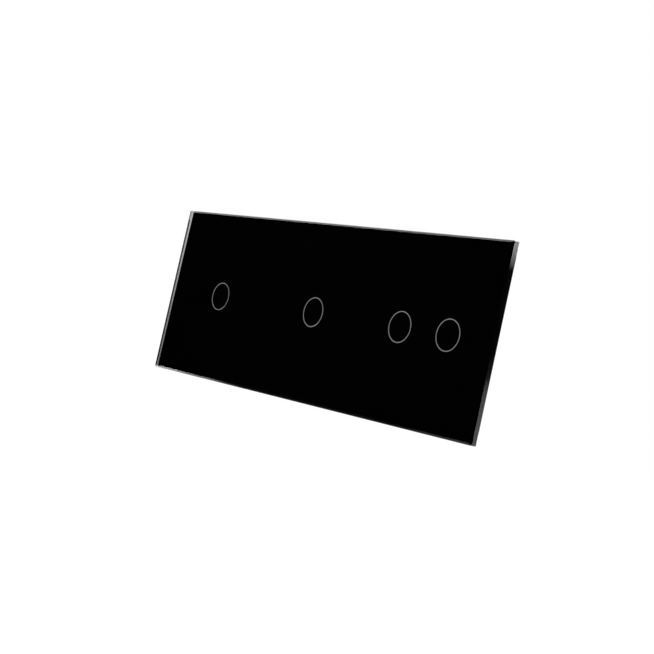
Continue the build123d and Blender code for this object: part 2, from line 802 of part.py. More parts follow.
# Relay yokes: an angled bracket with the core and its pole face riveted to it. The arm's round end is the
# armature's hinge.
with BuildPart() as relay_yokes:
    for x in all_relays.values():
        foot_z = (relay_middle + yoke_back, relay_middle + yoke_foot)
        block(spread(x, yoke_width), (relay_base_y, yoke_arm_high_y), foot_z)
        round_z = relay_middle + yoke_end - yoke_thickness / 2
        arm_y = (yoke_arm_low_y, yoke_arm_high_y)
        block(spread(x, yoke_width), arm_y, (relay_middle + yoke_back, round_z))
        with BuildSketch(Plane(origin=(x - yoke_width / 2, yoke_arm_y, round_z), z_dir=(1, 0, 0))):
            Circle(yoke_thickness / 2)
        extrude(amount=yoke_width)
        with BuildSketch(upright(relay_middle + yoke_foot, x, coil_y)):
            Circle(core_radius)
        extrude(amount=pole_start - yoke_foot)
        with BuildSketch(upright(relay_middle + pole_start, x, coil_y)):
            Circle(pole_radius)
        extrude(amount=pole_thickness)
keep(relay_yokes, "relay_yokes")

# Fixed contacts: a blade that stands on the relay's base, with a rivet facing the moving one
with BuildPart() as relay_contacts:
    for x in all_relays.values():
        blade_start = relay_middle + fixed_contact_start
        blade_y = (relay_base_y, contact_y + contact_radius)
        block(spread(x, blade_width), blade_y, (blade_start, blade_start + blade_thickness))
        with BuildSketch(upright(relay_middle + fixed_contact_face, x, contact_y)):
            Circle(contact_radius)
        extrude(amount=-contact_thickness)
keep(relay_contacts, "relay_contacts")

# Smoothing capacitors, each with the groove that its sleeve shrinks into
with BuildPart() as capacitors:
    for module in module_keys:
        centre = (module_x(module) + column_x, capacitor_z)
        with BuildSketch(facing(capacitor_back_y, *centre)):
            Circle(capacitor_diameter / 2)
        extrude(amount=capacitor_back_y - power_back_y)
        with BuildSketch(facing(power_back_y + 2 * capacitor_rim, *centre)):
            Circle(capacitor_diameter / 2)
            Circle(capacitor_diameter / 2 - capacitor_groove, mode=Mode.SUBTRACT)
        extrude(amount=capacitor_rim, mode=Mode.SUBTRACT)
keep(capacitors, "capacitors")

# Fuses
with BuildPart() as fuses:
    for module in module_keys:
        with BuildSketch(facing(power_back_y + fuse_height, module_x(module) + column_x, fuse_z)):
            RectangleRounded(fuse_length, fuse_width, fuse_round)
        extrude(amount=fuse_height)
keep(fuses, "fuses")

# Transformers: two core legs either side of a winding that is set in from the core
with BuildPart() as transformers:
    for module in module_keys:
        x = module_x(module) + transformer_offset
        back_y = power_back_y + transformer_height
        block(
            spread(x, transformer_width),
            (power_back_y, back_y),
            spread(transformer_z, transformer_length),
        )
        winding_x = spread(x, transformer_width - 2 * transformer_leg)
        for side in (-1, 1):
            edge = transformer_z + side * transformer_length / 2
            groove_z = sorted((edge, edge - side * transformer_winding))
            for groove_y in (
                (power_back_y, power_back_y + transformer_winding),
                (back_y - transformer_winding, back_y),
            ):
                block(winding_x, groove_y, groove_z, mode=Mode.SUBTRACT)
keep(transformers, "transformers")
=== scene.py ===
import json
import math

import bmesh
import bpy
from mathutils import Matrix, Vector


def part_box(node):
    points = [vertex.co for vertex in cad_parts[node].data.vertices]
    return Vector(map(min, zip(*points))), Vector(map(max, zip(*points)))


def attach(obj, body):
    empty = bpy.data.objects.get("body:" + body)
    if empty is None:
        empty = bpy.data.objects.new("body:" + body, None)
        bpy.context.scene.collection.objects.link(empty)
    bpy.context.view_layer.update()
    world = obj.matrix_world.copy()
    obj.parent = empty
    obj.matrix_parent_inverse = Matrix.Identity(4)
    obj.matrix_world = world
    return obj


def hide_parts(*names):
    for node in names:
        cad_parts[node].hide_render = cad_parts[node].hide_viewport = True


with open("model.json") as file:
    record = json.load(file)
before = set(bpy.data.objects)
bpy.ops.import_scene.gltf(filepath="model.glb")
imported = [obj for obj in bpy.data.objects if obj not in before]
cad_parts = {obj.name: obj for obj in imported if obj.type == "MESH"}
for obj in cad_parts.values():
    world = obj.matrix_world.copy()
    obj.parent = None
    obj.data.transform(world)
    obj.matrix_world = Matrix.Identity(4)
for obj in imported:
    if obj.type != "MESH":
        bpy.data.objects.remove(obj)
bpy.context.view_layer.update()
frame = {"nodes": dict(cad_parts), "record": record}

MM = 0.001


# The camera, worked out from the photograph. Its place is in millimetres, and its basis in the CAD frame.
CAMERA_PLACE = (481.07, -398.07, -25.61)
CAMERA_RIGHT = (0.638152, 0.738823, 0.216569)
CAMERA_UP = (-0.089675, -0.20805, 0.973999)
CAMERA_FORWARD = (-0.76467, 0.64098, 0.066514)
SENSOR_MM = 36.0
LENS_MM = 77.467
CAMERA_SHIFT = (-0.0197, -0.0694)
CLIP_START_M = 0.01


def add_camera():
    """A camera that sees the part as the photograph does."""
    data = bpy.data.cameras.new("camera")
    data.sensor_width = SENSOR_MM
    data.lens = LENS_MM
    data.shift_x, data.shift_y = CAMERA_SHIFT
    data.clip_start = CLIP_START_M
    camera = bpy.data.objects.new("camera", data)
    basis = Matrix((CAMERA_RIGHT, CAMERA_UP, [-c for c in CAMERA_FORWARD])).transposed().to_4x4()
    basis.translation = Vector(CAMERA_PLACE) * MM
    camera.matrix_world = basis
    bpy.context.scene.collection.objects.link(camera)
    bpy.context.scene.camera = camera


# Shader helpers. Most of a noise's values lie in NOISE_RANGE, and a cell pattern's in FULL_RANGE.
NOISE_RANGE = (0.35, 0.65)
FULL_RANGE = (0.0, 1.0)


class Graph:
    """A material's node tree, with short calls for the nodes that the materials share."""

    def __init__(self, name):
        self.material = bpy.data.materials.new(name)
        self.material.use_nodes = True
        self.nodes = self.material.node_tree.nodes
        self.links = self.material.node_tree.links
        self.shader = self.nodes["Principled BSDF"]
        self.place = self.nodes.new("ShaderNodeTexCoord").outputs["Object"]

    def put(self, socket, value):
        if isinstance(value, bpy.types.NodeSocket):
            self.links.new(value, socket)
        else:
            socket.default_value = value

    def new(self, kind, outputs=0, settings=None, **inputs):
        node = self.nodes.new(kind)
        for key, value in (settings or {}).items():
            setattr(node, key, value)
        for key, value in inputs.items():
            self.put(node.inputs[key.replace("_", " ")], value)
        return node.outputs[outputs]

    def set(self, **inputs):
        for key, value in inputs.items():
            self.put(self.shader.inputs[key.replace("_", " ")], value)

    def stretch(self, scale):
        return self.new("ShaderNodeMapping", Vector=self.place, Scale=scale)

    def noise(self, scale, detail=4.0, rough=0.5, at=None):
        return self.new("ShaderNodeTexNoise", Vector=at or self.place, Scale=scale, Detail=detail,
                        Roughness=rough)

    def spread(self, value, low, high, source=NOISE_RANGE):
        return self.new("ShaderNodeMapRange", Value=value, From_Min=source[0], From_Max=source[1],
                        To_Min=low, To_Max=high)

    def mix(self, factor, first, second):
        node = self.nodes.new("ShaderNodeMix")
        node.data_type = "RGBA"
        self.put(node.inputs[0], factor)
        self.put(node.inputs[6], first)
        self.put(node.inputs[7], second)
        return node.outputs[2]

    def cells(self, scale, outputs="Distance"):
        return self.new("ShaderNodeTexVoronoi", outputs, Vector=self.place, Scale=scale)

    def bump(self, height, strength, distance_mm, edge_mm=0.0):
        """A fine relief on a surface whose sharp edges may be rounded off."""
        under = {}
        if edge_mm:
            under["Normal"] = self.new("ShaderNodeBevel", settings={"samples": 4}, Radius=edge_mm * MM)
        return self.new("ShaderNodeBump", Strength=strength, Distance=distance_mm * MM, Height=height,
                        **under)


def grey(value):
    return (value, value, value, 1.0)


WHITE = grey(1.0)


# Materials
def clear_glass():
    g = Graph("clear_glass")
    smear = g.noise(60.0, 6.0, 0.6)
    g.set(Base_Color=(0.985, 0.995, 0.99, 1.0), Transmission_Weight=1.0, IOR=1.52,
          Roughness=g.spread(smear, 0.0, 0.006))
    depth = g.new("ShaderNodeVolumeAbsorption", Color=(0.6, 0.84, 0.78, 1.0), Density=9.0)
    g.links.new(depth, g.nodes["Material Output"].inputs["Volume"])
    return g.material


def shaded(colour, share):
    """The colour at a share of its brightness."""
    return [c * share for c in colour[:3]] + [1.0]


def ink(name, colour):
    """Ink in optical contact with the glass, so it has no gloss of its own."""
    g = Graph(name)
    tone = g.mix(g.noise(900.0, 3.0), shaded(colour, 0.9), colour)
    g.set(Base_Color=tone, Roughness=0.9, Specular_IOR_Level=0.0)
    return g.material


def ink_back():
    """The dry side of the black ink, with the faint mesh of its printing screen."""
    g = Graph("black_ink_back")
    screen = g.cells(2800.0)
    tone = g.mix(g.noise(120.0), grey(0.008), grey(0.016))
    g.set(Base_Color=tone, Roughness=g.spread(screen, 0.42, 0.6, FULL_RANGE),
          Normal=g.bump(screen, 0.15, 0.02))
    return g.material


def moulded(name, colour, rough=0.45, grain=0.25, edge_mm=0.12):
    """Moulded plastic: a fine spark-eroded grain, slight flow marks and rounded edges."""
    g = Graph(name)
    cloud = g.noise(45.0, 3.0)
    flow = g.noise(240.0, 4.0, 0.55, at=g.stretch((1.0, 1.0, 0.12)))
    pits = g.noise(2600.0, 2.0, 0.6)
    darker = shaded(colour, 0.84)
    base = g.mix(g.spread(flow, 0.0, 0.35), g.mix(cloud, darker, colour), darker)
    g.set(Base_Color=base, Roughness=g.spread(pits, rough - 0.07, rough + 0.1),
          Normal=g.bump(pits, grain, 0.05, edge_mm))
    return g.material


def frosted():
    """Clear plastic with a matt mould finish, which spreads the lamps' light."""
    g = Graph("clear_plastic")
    pits = g.noise(3200.0, 2.0, 0.6)
    tint = g.mix(g.noise(80.0), (0.86, 0.9, 0.92, 1.0), (0.93, 0.95, 0.96, 1.0))
    g.set(Base_Color=tint, Transmission_Weight=0.85, IOR=1.49, Roughness=g.spread(pits, 0.3, 0.45),
          Normal=g.bump(pits, 0.2, 0.03))
    return g.material


def plated_steel():
    """Rolled and zinc-plated sheet: rolling streaks along X under a faint crystal pattern."""
    g = Graph("plated_steel")
    streaks = g.noise(900.0, 5.0, 0.6, at=g.stretch((0.05, 1.0, 1.0)))
    crystals = g.cells(520.0, outputs="Color")
    cloud = g.noise(70.0, 4.0)
    tone = g.mix(g.spread(streaks, 0.0, 1.0), (0.29, 0.3, 0.32, 1.0), (0.43, 0.44, 0.44, 1.0))
    tone = g.mix(g.spread(cloud, 0.0, 0.5), tone, (0.38, 0.38, 0.36, 1.0))
    rough = g.spread(crystals, 0.31, 0.38, FULL_RANGE)
    g.set(Metallic=1.0, Base_Color=tone, Roughness=rough, Normal=g.bump(streaks, 0.08, 0.03, 0.1))
    return g.material


def metal(name, colour, rough, grain=0.1, edge_mm=0.05):
    """Bare or plated metal, clouded and finely scratched."""
    g = Graph(name)
    cloud = g.noise(400.0, 4.0)
    scratches = g.noise(1500.0, 3.0, 0.6, at=g.stretch((1.0, 1.0, 0.1)))
    clouded = g.mix(cloud, shaded(colour, 0.75), colour)
    worn = g.mix(g.spread(scratches, 0.0, 0.5), clouded, colour)
    g.set(Metallic=1.0, Base_Color=worn, Roughness=g.spread(cloud, rough - 0.08, rough + 0.08),
          Normal=g.bump(scratches, grain, 0.02, edge_mm))
    return g.material


def foam():
    g = Graph("black_foam")
    cells = g.cells(1800.0)
    g.set(Base_Color=g.mix(cells, grey(0.012), grey(0.03)), Roughness=0.95, Normal=g.bump(cells, 0.6, 0.1))
    return g.material


def circuit_board():
    """Green solder mask over a glass weave, pooled unevenly, with tinned holes through it."""
    g = Graph("circuit_board")
    holes = g.spread(g.cells(300.0), 1.0, 0.0, (0.1, 0.12))
    weave = g.noise(1400.0, 2.0)
    pool = g.noise(110.0, 3.0)
    mask = g.mix(pool, (0.007, 0.085, 0.036, 1.0), (0.014, 0.15, 0.062, 1.0))
    mask = g.mix(g.spread(weave, 0.0, 0.3), mask, (0.022, 0.2, 0.085, 1.0))
    g.set(Base_Color=g.mix(holes, mask, (0.62, 0.6, 0.55, 1.0)), Metallic=holes,
          Roughness=g.spread(weave, 0.22, 0.34), Normal=g.bump(weave, 0.15, 0.02, 0.08))
    return g.material


def wound_wire():
    """Enamelled copper: a clear red-brown coat over metal."""
    g = Graph("copper_wire")
    tint = g.noise(700.0, 3.0)
    g.set(Metallic=1.0, Base_Color=g.mix(tint, (0.42, 0.12, 0.04, 1.0), (0.66, 0.25, 0.09, 1.0)),
          Roughness=g.spread(tint, 0.25, 0.4), Coat_Weight=0.6, Coat_Roughness=0.12)
    return g.material


# The slots of the record, each with its material
FINISHES = {
    "clear_glass": clear_glass(),
    "black_ink": ink("black_ink", grey(0.0012)),
    "pale_ink": ink("pale_ink", (0.445, 0.485, 0.525, 1.0)),
    "black_foam": foam(),
    "black_plastic": moulded("black_plastic", grey(0.02)),
    "grey_plastic": moulded("grey_plastic", grey(0.1)),
    "white_plastic": moulded("white_plastic", (0.72, 0.71, 0.67, 1.0), 0.4),
    "clear_plastic": frosted(),
    "plated_steel": plated_steel(),
    "screw_steel": metal("screw_steel", (0.4, 0.4, 0.39, 1.0), 0.3),
    "circuit_board": circuit_board(),
    "black_epoxy": moulded("black_epoxy", grey(0.018), 0.5),
    "lamp_white": moulded("lamp_white", (0.8, 0.78, 0.6, 1.0), 0.4, 0.1),
    "brass": metal("brass", (0.72, 0.5, 0.2, 1.0), 0.28),
    "terminal_plastic": moulded("terminal_plastic", (0.03, 0.21, 0.09, 1.0), 0.35),
    "relay_blue": moulded("relay_blue", (0.02, 0.1, 0.34, 1.0), 0.3),
    "copper_wire": wound_wire(),
    "iron": metal("iron", (0.36, 0.36, 0.37, 1.0), 0.4),
    "silver": metal("silver", (0.55, 0.55, 0.53, 1.0), 0.3),
    "capacitor_sleeve": moulded("capacitor_sleeve", (0.015, 0.02, 0.07, 1.0), 0.25, 0.1),
    "fuse_case": moulded("fuse_case", (0.25, 0.03, 0.025, 1.0), 0.35),
    "ferrite": moulded("ferrite", grey(0.04), 0.6, 0.6),
}
INK_BACK = ink_back()
SIGN_INK = ink("sign_ink", grey(0.03))
TAPE = moulded("winding_tape", (0.62, 0.42, 0.06, 1.0), 0.3, 0.15)
TRACK = moulded("covered_copper", (0.04, 0.3, 0.13, 1.0), 0.28, 0.1)


def dress_nodes():
    """Gives each CAD node the material of its slot in the record."""
    for entry in frame["record"]["subparts"]:
        mesh = frame["nodes"][entry["node"]].data
        mesh.materials.clear()
        mesh.materials.append(FINISHES[entry["material_slot"]])


# Mesh helpers, in millimetres until a mesh is finished. ALONG_Y turns a shape's own Z to the frame's Y.
WELD_MM = 0.001
ALONG_Y = Matrix.Rotation(math.radians(-90.0), 4, "X")


def box_mm(node):
    """The lowest and highest corner of a CAD node, in millimetres."""
    return [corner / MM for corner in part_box(node)]


def node_shape(node):
    """A CAD node's shape in millimetres, with the seams of its export closed."""
    shape = bmesh.new()
    shape.from_mesh(frame["nodes"][node].data)
    bmesh.ops.scale(shape, vec=(1 / MM,) * 3, verts=shape.verts)
    bmesh.ops.remove_doubles(shape, verts=shape.verts, dist=WELD_MM)
    return shape


def solids_of(node):
    """The lowest and highest corner of each solid in a CAD node, in millimetres and in order of X."""
    shape = node_shape(node)
    waiting = set(shape.verts)
    boxes = []
    while waiting:
        group = [waiting.pop()]
        for vertex in group:
            for edge in vertex.link_edges:
                other = edge.other_vert(vertex)
                if other in waiting:
                    waiting.remove(other)
                    group.append(other)
        boxes.append(tuple(Vector(pick(v.co[i] for v in group) for i in range(3)) for pick in (min, max)))
    shape.free()
    return sorted(boxes, key=lambda box: (round(box[0].x, 2), box[0].z))


def finished(name, shape, sharp_deg=32.0):
    """A mesh in metres, smooth but for its sharp edges."""
    bmesh.ops.recalc_face_normals(shape, faces=shape.faces)
    bmesh.ops.scale(shape, vec=(MM,) * 3, verts=shape.verts)
    mesh = bpy.data.meshes.new(name)
    shape.to_mesh(mesh)
    shape.free()
    if "custom_normal" in mesh.attributes:
        mesh.attributes.remove(mesh.attributes["custom_normal"])
    mesh.shade_smooth()
    mesh.set_sharp_from_angle(angle=math.radians(sharp_deg))
    return mesh


def carve(shape, cutter):
    """Cuts one shape out of another."""
    objects = []
    for part in (shape, cutter):
        bmesh.ops.recalc_face_normals(part, faces=part.faces)
        mesh = bpy.data.meshes.new("carving")
        part.to_mesh(mesh)
        part.free()
        objects.append(bpy.data.objects.new("carving", mesh))
        bpy.context.scene.collection.objects.link(objects[-1])
    cut = objects[0].modifiers.new("cut", "BOOLEAN")
    cut.operation = "DIFFERENCE"
    cut.solver = "EXACT"
    cut.use_self = True
    cut.object = objects[1]
    graph = bpy.context.evaluated_depsgraph_get()
    result = bmesh.new()
    result.from_mesh(objects[0].evaluated_get(graph).to_mesh())
    for obj in objects:
        mesh = obj.data
        bpy.data.objects.remove(obj)
        bpy.data.meshes.remove(mesh)
    bmesh.ops.dissolve_degenerate(result, edges=result.edges, dist=WELD_MM / 10)
    return result


def prism(shape, outline, low, high, inset=0.0):
    """A closed prism along Y over an outline of (x, z) points. Its end at low may be drawn in."""
    middle = [sum(p[i] for p in outline) / len(outline) for i in (0, 1)]
    ends = []
    for y, shrink in ((low, inset), (high, 0.0)):
        ring = [(middle[0] + (x - middle[0]) * (1 - shrink), middle[1] + (z - middle[1]) * (1 - shrink))
                for x, z in outline]
        ends.append([shape.verts.new((x, y, z)) for x, z in ring])
    shape.faces.new(ends[0])
    shape.faces.new(reversed(ends[1]))
    for i in range(len(outline)):
        shape.faces.new((ends[0][i - 1], ends[1][i - 1], ends[1][i], ends[0][i]))


def bar(shape, start, end, width, low, high):
    """A straight bar between two (x, z) points, from low to high along Y."""
    start, end = Vector(start), Vector(end)
    side = (end - start).normalized().orthogonal() * width / 2
    prism(shape, [start - side, end - side, end + side, start + side], low, high)


def rounded(x, z, width, height, radius, steps=6):
    """The outline of a rectangle with round corners."""
    outline = []
    for corner, (sx, sz) in enumerate(((1, 1), (-1, 1), (-1, -1), (1, -1))):
        for step in range(steps + 1):
            angle = math.radians(90.0 * (corner + step / steps))
            outline.append((x + sx * (width / 2 - radius) + radius * math.cos(angle),
                            z + sz * (height / 2 - radius) + radius * math.sin(angle)))
    return outline


def circle(x, z, radius, steps=32):
    """The outline of a circle."""
    angles = [2 * math.pi * i / steps for i in range(steps)]
    return [(x + radius * math.cos(a), z + radius * math.sin(a)) for a in angles]


def band(shape, inner, outer, low, high):
    """A closed flat band along Y between two outlines with the same number of points."""
    loops = []
    for outline, y in ((inner, low), (outer, low), (outer, high), (inner, high)):
        loops.append([shape.verts.new((x, y, z)) for x, z in outline])
    for near, far in zip(loops, loops[1:] + loops[:1]):
        for i in range(len(inner)):
            shape.faces.new((near[i - 1], far[i - 1], far[i], near[i]))


def ring(shape, x, z, inner, outer, low, high, steps=40):
    """A flat ring along Y."""
    band(shape, circle(x, z, inner, steps), circle(x, z, outer, steps), low, high)


def track(shape, points, width, low, high, cut=0.8):
    """A flat strip that follows (x, z) points, with its corners cut at 45 degrees."""
    points = [Vector(point) for point in points]
    route = [points[0]]
    for before, corner, after in zip(points, points[1:], points[2:]):
        for end in (before, after):
            reach = min(cut, (end - corner).length / 2)
            route.append(corner + (end - corner).normalized() * reach)
    route.append(points[-1])
    apart = [spot for spot, following in zip(route, route[1:]) if (following - spot).length > WELD_MM]
    route = apart + route[-1:]
    sides = []
    for before, spot, after in zip(route[:1] + route, route, route[1:] + route[-1:]):
        into, out = (spot - before).normalized(), (after - spot).normalized()
        along = (into + out).normalized()
        stretch = width / 2 / along.dot(into if into.length else out)
        side = Vector((-along.y, along.x)) * stretch
        sides.append((spot + side, spot - side))
    prism(shape, [left for left, _ in sides] + [right for _, right in reversed(sides)], low, high)


def block(shape, low, high, bevel):
    """A box with bevelled edges between two corners."""
    made = bmesh.ops.create_cube(shape, size=1.0)["verts"]
    low, high = Vector(low), Vector(high)
    bmesh.ops.scale(shape, vec=high - low, verts=made)
    bmesh.ops.translate(shape, vec=(low + high) / 2, verts=made)
    edges = {edge for vertex in made for edge in vertex.link_edges}
    bmesh.ops.bevel(shape, geom=list(edges), offset=bevel, segments=2, profile=0.5, affect="EDGES")


def turned(shape, place, rows, steps, pitch=None):
    """A closed turned solid about its own Z, set in place. Each row is (radius, height), or (radius, height,
    depth) where a helix is cut into it."""
    loops = []
    for radius, height, *cut in rows:
        loop = []
        for i in range(steps):
            here = radius
            if cut:
                phase = (height / pitch - i / steps) % 1.0
                here -= cut[0] * abs(2 * phase - 1)
            angle = 2 * math.pi * i / steps
            spot = Vector((here * math.cos(angle), here * math.sin(angle), height))
            loop.append(shape.verts.new(place @ spot))
        loops.append(loop)
    for near, far in zip(loops, loops[1:]):
        for i in range(steps):
            shape.faces.new((near[i - 1], far[i - 1], far[i], near[i]))
    shape.faces.new(loops[0])
    shape.faces.new(reversed(loops[-1]))


def helix_rows(radius, depth, start, end, pitch, per_turn=8):
    """Rows for turned() along a thread or winding, which fades out over its first and last half turn."""
    count = round(abs(end - start) / pitch * per_turn)
    rows = []
    for i in range(count + 1):
        height = start + (end - start) * i / count
        fade = min(1.0, 2 * min(i, count - i) / per_turn)
        rows.append((radius, height, depth * fade))
    return rows


def rim_rows(radius, top, steps):
    """Rows for turned() over a rim. Each step is how far it lies inside the radius and under the top."""
    return [(radius - inset, top - drop) for inset, drop in steps]


def add_piece(name, mesh, body, slot, *nodes):
    """Shows a finished mesh, which rides on a body, has a slot's finish and may stand for CAD nodes."""
    if not mesh.materials:
        mesh.materials.append(FINISHES[slot])
    piece = bpy.data.objects.new(name, mesh)
    bpy.context.scene.collection.objects.link(piece)
    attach(piece, body)
    if nodes:
        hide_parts(*nodes)


def show(name, shape, slot, *nodes, body="modules"):
    """Finishes a shape and shows it."""
    add_piece(name, finished(name, shape), body, slot, *nodes)


# The ink layers are set a hair into the glass, so that no air shows between them and it. The black print's
# left edge runs askew, by these millimetres inside the CAD edge.
INK_DEPTH_MM = 0.03
PRINT_LEFT_SHIFT = {"top": 0.7, "bottom": 0.15}


def put_ink_in_glass(node, slot):
    """A copy of an ink node whose front face lies just inside the glass."""
    low, high = box_mm(node)
    shape = node_shape(node)
    for vertex in shape.verts:
        if vertex.co.y < low.y + INK_DEPTH_MM / 2:
            vertex.co.y = low.y - INK_DEPTH_MM
        if node == "back_print" and vertex.co.x < low.x + WELD_MM:
            vertex.co.x += PRINT_LEFT_SHIFT["top" if vertex.co.z > 0 else "bottom"]
    mesh = finished(f"{node}_in_glass", shape)
    mesh.materials.append(FINISHES[slot])
    mesh.materials.append(INK_BACK)
    if node == "back_print":
        for face in mesh.polygons:
            face.material_index = int(face.center.y > (high.y - INK_DEPTH_MM / 2) * MM)
    add_piece(f"{node}_in_glass", mesh, "panel", slot, node)


# The glass's edges in CAD, and how many millimetres deeper its right end is ground. The sharp limit of one
# degree keeps its flat faces exactly flat, because they mirror the painted lamp reflection card.
BEVEL_MM = 0.9
BACK_EDGE_MM = 0.3
CORNER_MM = 0.4
DEEPER_BEVEL = {"top": 0.12, "bottom": 0.42}
DEEPER_BACK_EDGE = 0.15
GLASS_SHARP_DEG = 1.0


def ground_glass():
    """A copy of the glass whose right end is ground as unevenly as in the photograph."""
    low, high = box_mm("glass_panel")
    shape = node_shape("glass_panel")
    side_front, side_back = low.y + BEVEL_MM, high.y - BACK_EDGE_MM
    for vertex in shape.verts:
        spot = vertex.co
        down = (high.z - spot.z) / (high.z - low.z)
        bevel = DEEPER_BEVEL["top"] * (1 - down) + DEEPER_BEVEL["bottom"] * down
        at_end = min(max((spot.x - high.x + CORNER_MM) / CORNER_MM, 0.0), 1.0)
        if spot.y < side_front + WELD_MM:
            spot.y += bevel * at_end * (spot.y - low.y) / BEVEL_MM
        elif spot.y > high.y - WELD_MM and spot.x > high.x - BACK_EDGE_MM - WELD_MM:
            spot.x -= DEEPER_BACK_EDGE
        elif spot.y > side_back - WELD_MM:
            spot.y -= DEEPER_BACK_EDGE * at_end
    mesh = finished("glass_panel_ground", shape, GLASS_SHARP_DEG)
    add_piece("glass_panel_ground", mesh, "panel", "clear_glass", "glass_panel")


# The modules, and what is moulded into their housings
MODULES = ("left", "middle", "right")
SIGN_DEPTH = 0.25
SIGN_LINE = 0.4
SIGN_SIZE = 1.7
SIGN_ABOVE_TERMINAL = 5.4
OVERCUT = 0.3
GAUGE_X = -1.5
GAUGE_Z = -4.6
LABEL_LOW = 0.7
LABEL_HIGH = 11.7
LABEL_WIDTH = 26.0
LABEL_CORNER = 1.2
UP_ARROW_Z = 16.0
PIN_MARK_X = 15.5
PIN_MARK_Z = -2.0
PIN_MARK_RADIUS = 1.5
PIN_MARK_DEPTH = 0.12
GROOVE_PITCH = 3
GROOVE_DEPTH = 0.5
GROOVE_WIDTH = 1.2
GROOVE_SPAN = (3.5, 12.5)
SIDE_GROOVES_REACH = 9
TOP_GROOVES_REACH = 12


def load_sign(cutter, x, z, low, high):
    """A lamp: a circle with a cross in it."""
    ring(cutter, x, z, SIGN_SIZE - SIGN_LINE, SIGN_SIZE, low, high)
    reach = (SIGN_SIZE - SIGN_LINE / 2) * math.sqrt(0.5)
    for slant in (-1, 1):
        bar(cutter, (x - reach, z - slant * reach), (x + reach, z + slant * reach), SIGN_LINE, low, high)


def arrow_sign(cutter, x, z, up, low, high):
    """An arrow that points up or down."""
    head_length, head_half, overlap = 1.6, 1.2, 0.1
    tip = z + up * SIGN_SIZE
    neck = tip - up * head_length
    prism(cutter, [(x, tip), (x - up * head_half, neck), (x + up * head_half, neck)], low, high)
    bar(cutter, (x, neck + up * overlap), (x, z - up * SIGN_SIZE), 2 * SIGN_LINE, low, high)


def strip_gauge(cutter, x, z, low, high):
    """A wire with its stripped end, drawn at its real length between two marks."""
    strip, cover, cover_width, wire_width, overlap = 8.0, 6.0, 1.6, 0.6, 0.1
    mark_from, mark_length, mark_inset = 1.3, 1.4, 0.2
    bare_from = x + (cover - strip) / 2
    bare_to = bare_from + strip
    bar(cutter, (bare_from - cover, z), (bare_from, z), cover_width, low, high)
    bar(cutter, (bare_from - overlap, z), (bare_to, z), wire_width, low, high)
    for mark in (bare_from + mark_inset, bare_to):
        bar(cutter, (mark, z - mark_from), (mark, z - mark_from - mark_length), SIGN_LINE, low, high)


def housing(module):
    """The rear housing with what is moulded into it: wiring signs, a bare label field, cooling grooves."""
    node = f"{module}_rear_housing"
    low, high = box_mm(node)
    middle = (low.x + high.x) / 2
    back, floor = high.y + OVERCUT, high.y - SIGN_DEPTH
    cutter = bmesh.new()
    for screw in sorted(n for n in frame["nodes"] if n.startswith(module) and n.endswith("_screw")):
        near, far = box_mm(screw)
        x, z = (near.x + far.x) / 2, (near.z + far.z) / 2 + SIGN_ABOVE_TERMINAL
        if "line" in screw:
            arrow_sign(cutter, x, z, -1, floor, back)
        else:
            load_sign(cutter, x, z, floor, back)
    strip_gauge(cutter, middle + GAUGE_X, GAUGE_Z, floor, back)
    label_middle, label_height = (LABEL_LOW + LABEL_HIGH) / 2, LABEL_HIGH - LABEL_LOW
    prism(cutter, rounded(middle, label_middle, LABEL_WIDTH, label_height, LABEL_CORNER), floor, back)
    arrow_sign(cutter, middle, UP_ARROW_Z, 1, floor, back)
    for side in (-1, 1):
        outline = circle(middle + side * PIN_MARK_X, PIN_MARK_Z, PIN_MARK_RADIUS)
        prism(cutter, outline, high.y - PIN_MARK_DEPTH, back)
    for z in range(-SIDE_GROOVES_REACH, SIDE_GROOVES_REACH + 1, GROOVE_PITCH):
        for wall in (low.x, high.x):
            ends = (wall - GROOVE_DEPTH, z), (wall + GROOVE_DEPTH, z)
            bar(cutter, *ends, GROOVE_WIDTH, *GROOVE_SPAN)
    for x in range(-TOP_GROOVES_REACH, TOP_GROOVES_REACH + 1, GROOVE_PITCH):
        ends = (middle + x, high.z - GROOVE_DEPTH), (middle + x, high.z + GROOVE_DEPTH)
        bar(cutter, *ends, GROOVE_WIDTH, *GROOVE_SPAN)
    mesh = finished(f"{node}_moulded", carve(node_shape(node), cutter))
    mesh.materials.append(FINISHES["white_plastic"])
    mesh.materials.append(SIGN_INK)
    for face in mesh.polygons:
        spot = face.center / MM
        if abs(spot.y - floor) < WELD_MM and not LABEL_LOW < spot.z < LABEL_HIGH:
            face.material_index = 1
    add_piece(f"{node}_moulded", mesh, "modules", "white_plastic", node)


def plate(module):
    """The mounting plate with its pressed stiffening beads and an arrow for the way up."""
    node = f"{module}_mounting_plate"
    low, high = box_mm(node)
    middle = (low.x + high.x) / 2
    bead_radius, bead_depth, bead_place, bead_from, bead_to = 1.3, 0.35, 29.0, 8.0, 25.0
    arrow_x, arrow_z, arrow_depth = 6.5, 30.5, 0.15
    angles = [math.radians(degrees) for degrees in (5, 25, 45, 65, 90)]
    ends = [(bead_radius * math.sin(a), -bead_radius * math.cos(a)) for a in angles]
    rows = [(r, bead_from + h) for r, h in ends] + [(r, bead_to - h) for r, h in reversed(ends)]
    cutter = bmesh.new()
    lift = Matrix.Translation((middle, high.y + bead_radius - bead_depth, 0))
    for quarter in range(4):
        turn = Matrix.Rotation(math.radians(90.0 * quarter), 4, "Y")
        for flip in (0.0, 180.0):
            lay = Matrix.Translation((bead_place, 0, 0)) @ Matrix.Rotation(math.radians(flip), 4, "X")
            turned(cutter, lift @ turn @ lay, rows, 24)
    arrow_sign(cutter, middle + arrow_x, arrow_z, 1, high.y - arrow_depth, high.y + OVERCUT)
    show(f"{node}_pressed", carve(node_shape(node), cutter), "plated_steel", node)


